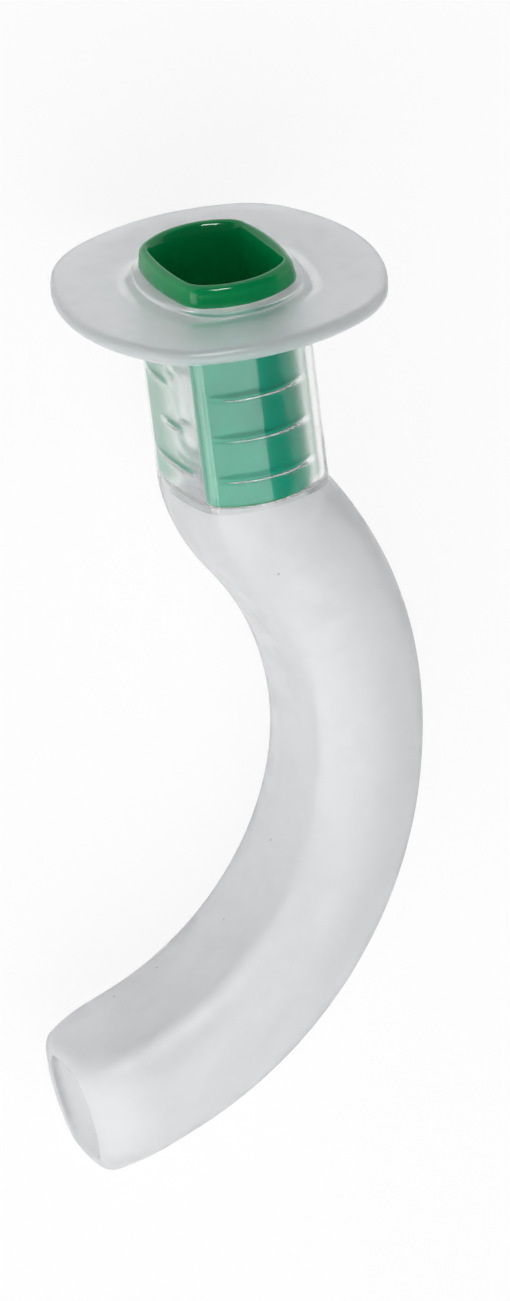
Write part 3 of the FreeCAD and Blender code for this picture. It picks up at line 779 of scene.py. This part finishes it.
class AIRWAY_OT_bite_block(bpy.types.Operator):
    """Model the green bite block: rim, sleeve and ribs."""

    bl_idname = "airway.bite_block"
    bl_label = "Bite block"

    def execute(self, context):
        sizes, finish = context.scene.airway_sizes, context.scene.airway_finish
        surface = bpy.data.node_groups["moulded surface"]
        finishes = {
            "rim": block_plastic("rim_green", surface, finish.block_colour),
            "sleeve": block_plastic("sleeve_green", surface, finish.sleeve_colour),
        }
        rings, zones = block_rings(sizes)
        block = loft("bite_insert", rings)
        dress(block, zones, finishes)
        finish_mesh(block)
        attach(block, "root")
        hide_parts("bite_block")
        coat_node("bite_block", finishes["rim"])
        return {"FINISHED"}


def soft_lamp(name, place, target, width, height, power):
    """A rectangular area lamp aimed at a point."""
    data = bpy.data.lights.new(name, "AREA")
    data.shape = "RECTANGLE"
    data.size, data.size_y = width, height
    data.energy = power
    lamp = bpy.data.objects.new(name, data)
    bpy.context.scene.collection.objects.link(lamp)
    lamp.location = place
    lamp.rotation_euler = (Vector(target) - Vector(place)).to_track_quat("-Z", "Y").to_euler()
    return lamp


def seen_directly(tree):
    """Masks for what the camera sees straight, and for what it sees through glass or mirrored."""
    path = tree.nodes.new("ShaderNodeLightPath")
    bent = maths(tree, "MAXIMUM", path.outputs["Is Transmission Ray"],
                 path.outputs["Is Glossy Ray"])
    unscattered = maths(tree, "LESS_THAN", path.outputs["Diffuse Depth"], 0.5)
    return path.outputs["Is Camera Ray"], maths(tree, "MULTIPLY", bent, unscattered)


def add_floor():
    """A pale paper floor that keeps the shadow and is nearly white to the camera."""
    bpy.ops.mesh.primitive_plane_add(size=3.0)
    floor = bpy.context.object
    floor.name = "floor"
    paper = bpy.data.materials.new("floor_paper")
    paper.use_nodes = True
    tree = paper.node_tree
    tree.nodes.remove(tree.nodes["Principled BSDF"])
    matte = node(tree, "ShaderNodeBsdfDiffuse", Color=(0.9, 0.9, 0.9, 1.0))
    glow = node(tree, "ShaderNodeEmission", Strength=1.0)
    shown = maths(tree, "MAXIMUM", *seen_directly(tree))
    mix = node(tree, "ShaderNodeMixShader", Fac=maths(tree, "MULTIPLY", shown, FLOOR_COVER))
    tree.links.new(matte.outputs[0], mix.inputs[1])
    tree.links.new(glow.outputs[0], mix.inputs[2])
    tree.links.new(mix.outputs[0], tree.nodes["Material Output"].inputs["Surface"])
    floor.data.materials.append(paper)


def add_studio(scene):
    """Soft light from all round, white to the camera, and dim overhead where glass shows it."""
    world = bpy.data.worlds.new("studio")
    scene.world = world
    world.use_nodes = True
    sky = world.node_tree
    seen, beyond = seen_directly(sky)
    heading = sky.nodes.new("ShaderNodeTexCoord").outputs["Generated"]
    way = node(sky, "ShaderNodeSeparateXYZ", Vector=heading)
    near_horizon = ramp(sky, way.outputs["Z"], 0.15, 0.35, 1.0, 0.0)
    walls = maths(sky, "MULTIPLY", beyond, near_horizon)
    ambient = ramp(sky, way.outputs["Y"], -1.0, 1.0, AMBIENT_AT_TIP, AMBIENT_AT_RIM)
    dimming = maths(sky, "MULTIPLY_ADD", beyond, SHARE_THROUGH_GLASS - 1.0, 1.0)
    overhead = maths(sky, "MULTIPLY", ambient, dimming)
    level = maths(sky, "MAXIMUM", maths(sky, "MAXIMUM", seen, walls), overhead)
    background = sky.nodes["Background"]
    background.inputs["Color"].default_value = (1.0, 1.0, 1.0, 1.0)
    sky.links.new(level, background.inputs["Strength"])

    # The lamp beyond the flange only draws highlights
    soft_lamp("key_softbox", *KEY_SOFTBOX)
    highlight = soft_lamp("back_lamp", *BACK_LAMP)
    highlight.visible_diffuse = False
    highlight.visible_transmission = False
    soft_lamp("side_softbox", *SIDE_SOFTBOX)


def add_camera(scene):
    """A camera that sees the airway along the photograph's line of sight."""
    aside = PHOTO_UP.cross(TO_CAMERA).normalized()
    upright = TO_CAMERA.cross(aside)
    middle = (aside * (PHOTO_WIDTH / 2 - ORIGIN_SEEN_AT[0])
              - upright * (PHOTO_HEIGHT / 2 - ORIGIN_SEEN_AT[1])) / FOCAL_LENGTH
    ahead = (middle - TO_CAMERA).normalized()
    right = ahead.cross(upright).normalized()
    turned = Matrix((right, right.cross(ahead), -ahead)).transposed().to_4x4()
    camera = bpy.data.objects.new("camera", bpy.data.cameras.new("camera"))
    scene.collection.objects.link(camera)
    camera.matrix_world = RESTING @ Matrix.Translation(TO_CAMERA * CAMERA_DISTANCE) @ turned
    camera.data.sensor_width = SENSOR_WIDTH
    camera.data.lens = SENSOR_WIDTH * FOCAL_LENGTH / PHOTO_HEIGHT
    camera.data.clip_start, camera.data.clip_end = 0.1, 10.0
    scene.camera = camera


class AIRWAY_OT_stage(bpy.types.Operator):
    """Set up the pale floor, the soft light and the camera."""

    bl_idname = "airway.stage"
    bl_label = "Stage"

    def execute(self, context):
        scene = context.scene
        deselect_all()
        add_floor()
        add_studio(scene)
        add_camera(scene)
        scene.view_settings.view_transform = "Standard"

        # Light is passed along the clear wall of the neck many times over
        scene.cycles.max_bounces = scene.cycles.transmission_bounces = 24
        scene.cycles.glossy_bounces = 16
        scene.cycles.diffuse_bounces = 8
        return {"FINISHED"}


class AIRWAY_PT_panel(bpy.types.Panel):
    """Sizes, colours and steps of the airway."""

    bl_idname = "AIRWAY_PT_panel"
    bl_label = "Airway"
    bl_space_type = "VIEW_3D"
    bl_region_type = "UI"
    bl_category = "Airway"

    def draw(self, context):
        layout = self.layout
        for group in (context.scene.airway_sizes, context.scene.airway_finish):
            for name in group.__annotations__:
                layout.prop(group, name)
        for step in STEPS:
            layout.operator(step.bl_idname)


STEPS = (AIRWAY_OT_moulding, AIRWAY_OT_bite_block, AIRWAY_OT_stage)
CLASSES = (AirwaySizes, AirwayFinish, *STEPS, AIRWAY_PT_panel)


def register():
    for one in CLASSES:
        bpy.utils.register_class(one)
    bpy.types.Scene.airway_sizes = bpy.props.PointerProperty(type=AirwaySizes)
    bpy.types.Scene.airway_finish = bpy.props.PointerProperty(type=AirwayFinish)


def unregister():
    del bpy.types.Scene.airway_sizes
    del bpy.types.Scene.airway_finish
    for one in reversed(CLASSES):
        bpy.utils.unregister_class(one)


def main():
    register()
    bpy.ops.airway.moulding()
    bpy.ops.airway.bite_block()
    bpy.ops.airway.stage()


if __name__ == "__main__":
    main()
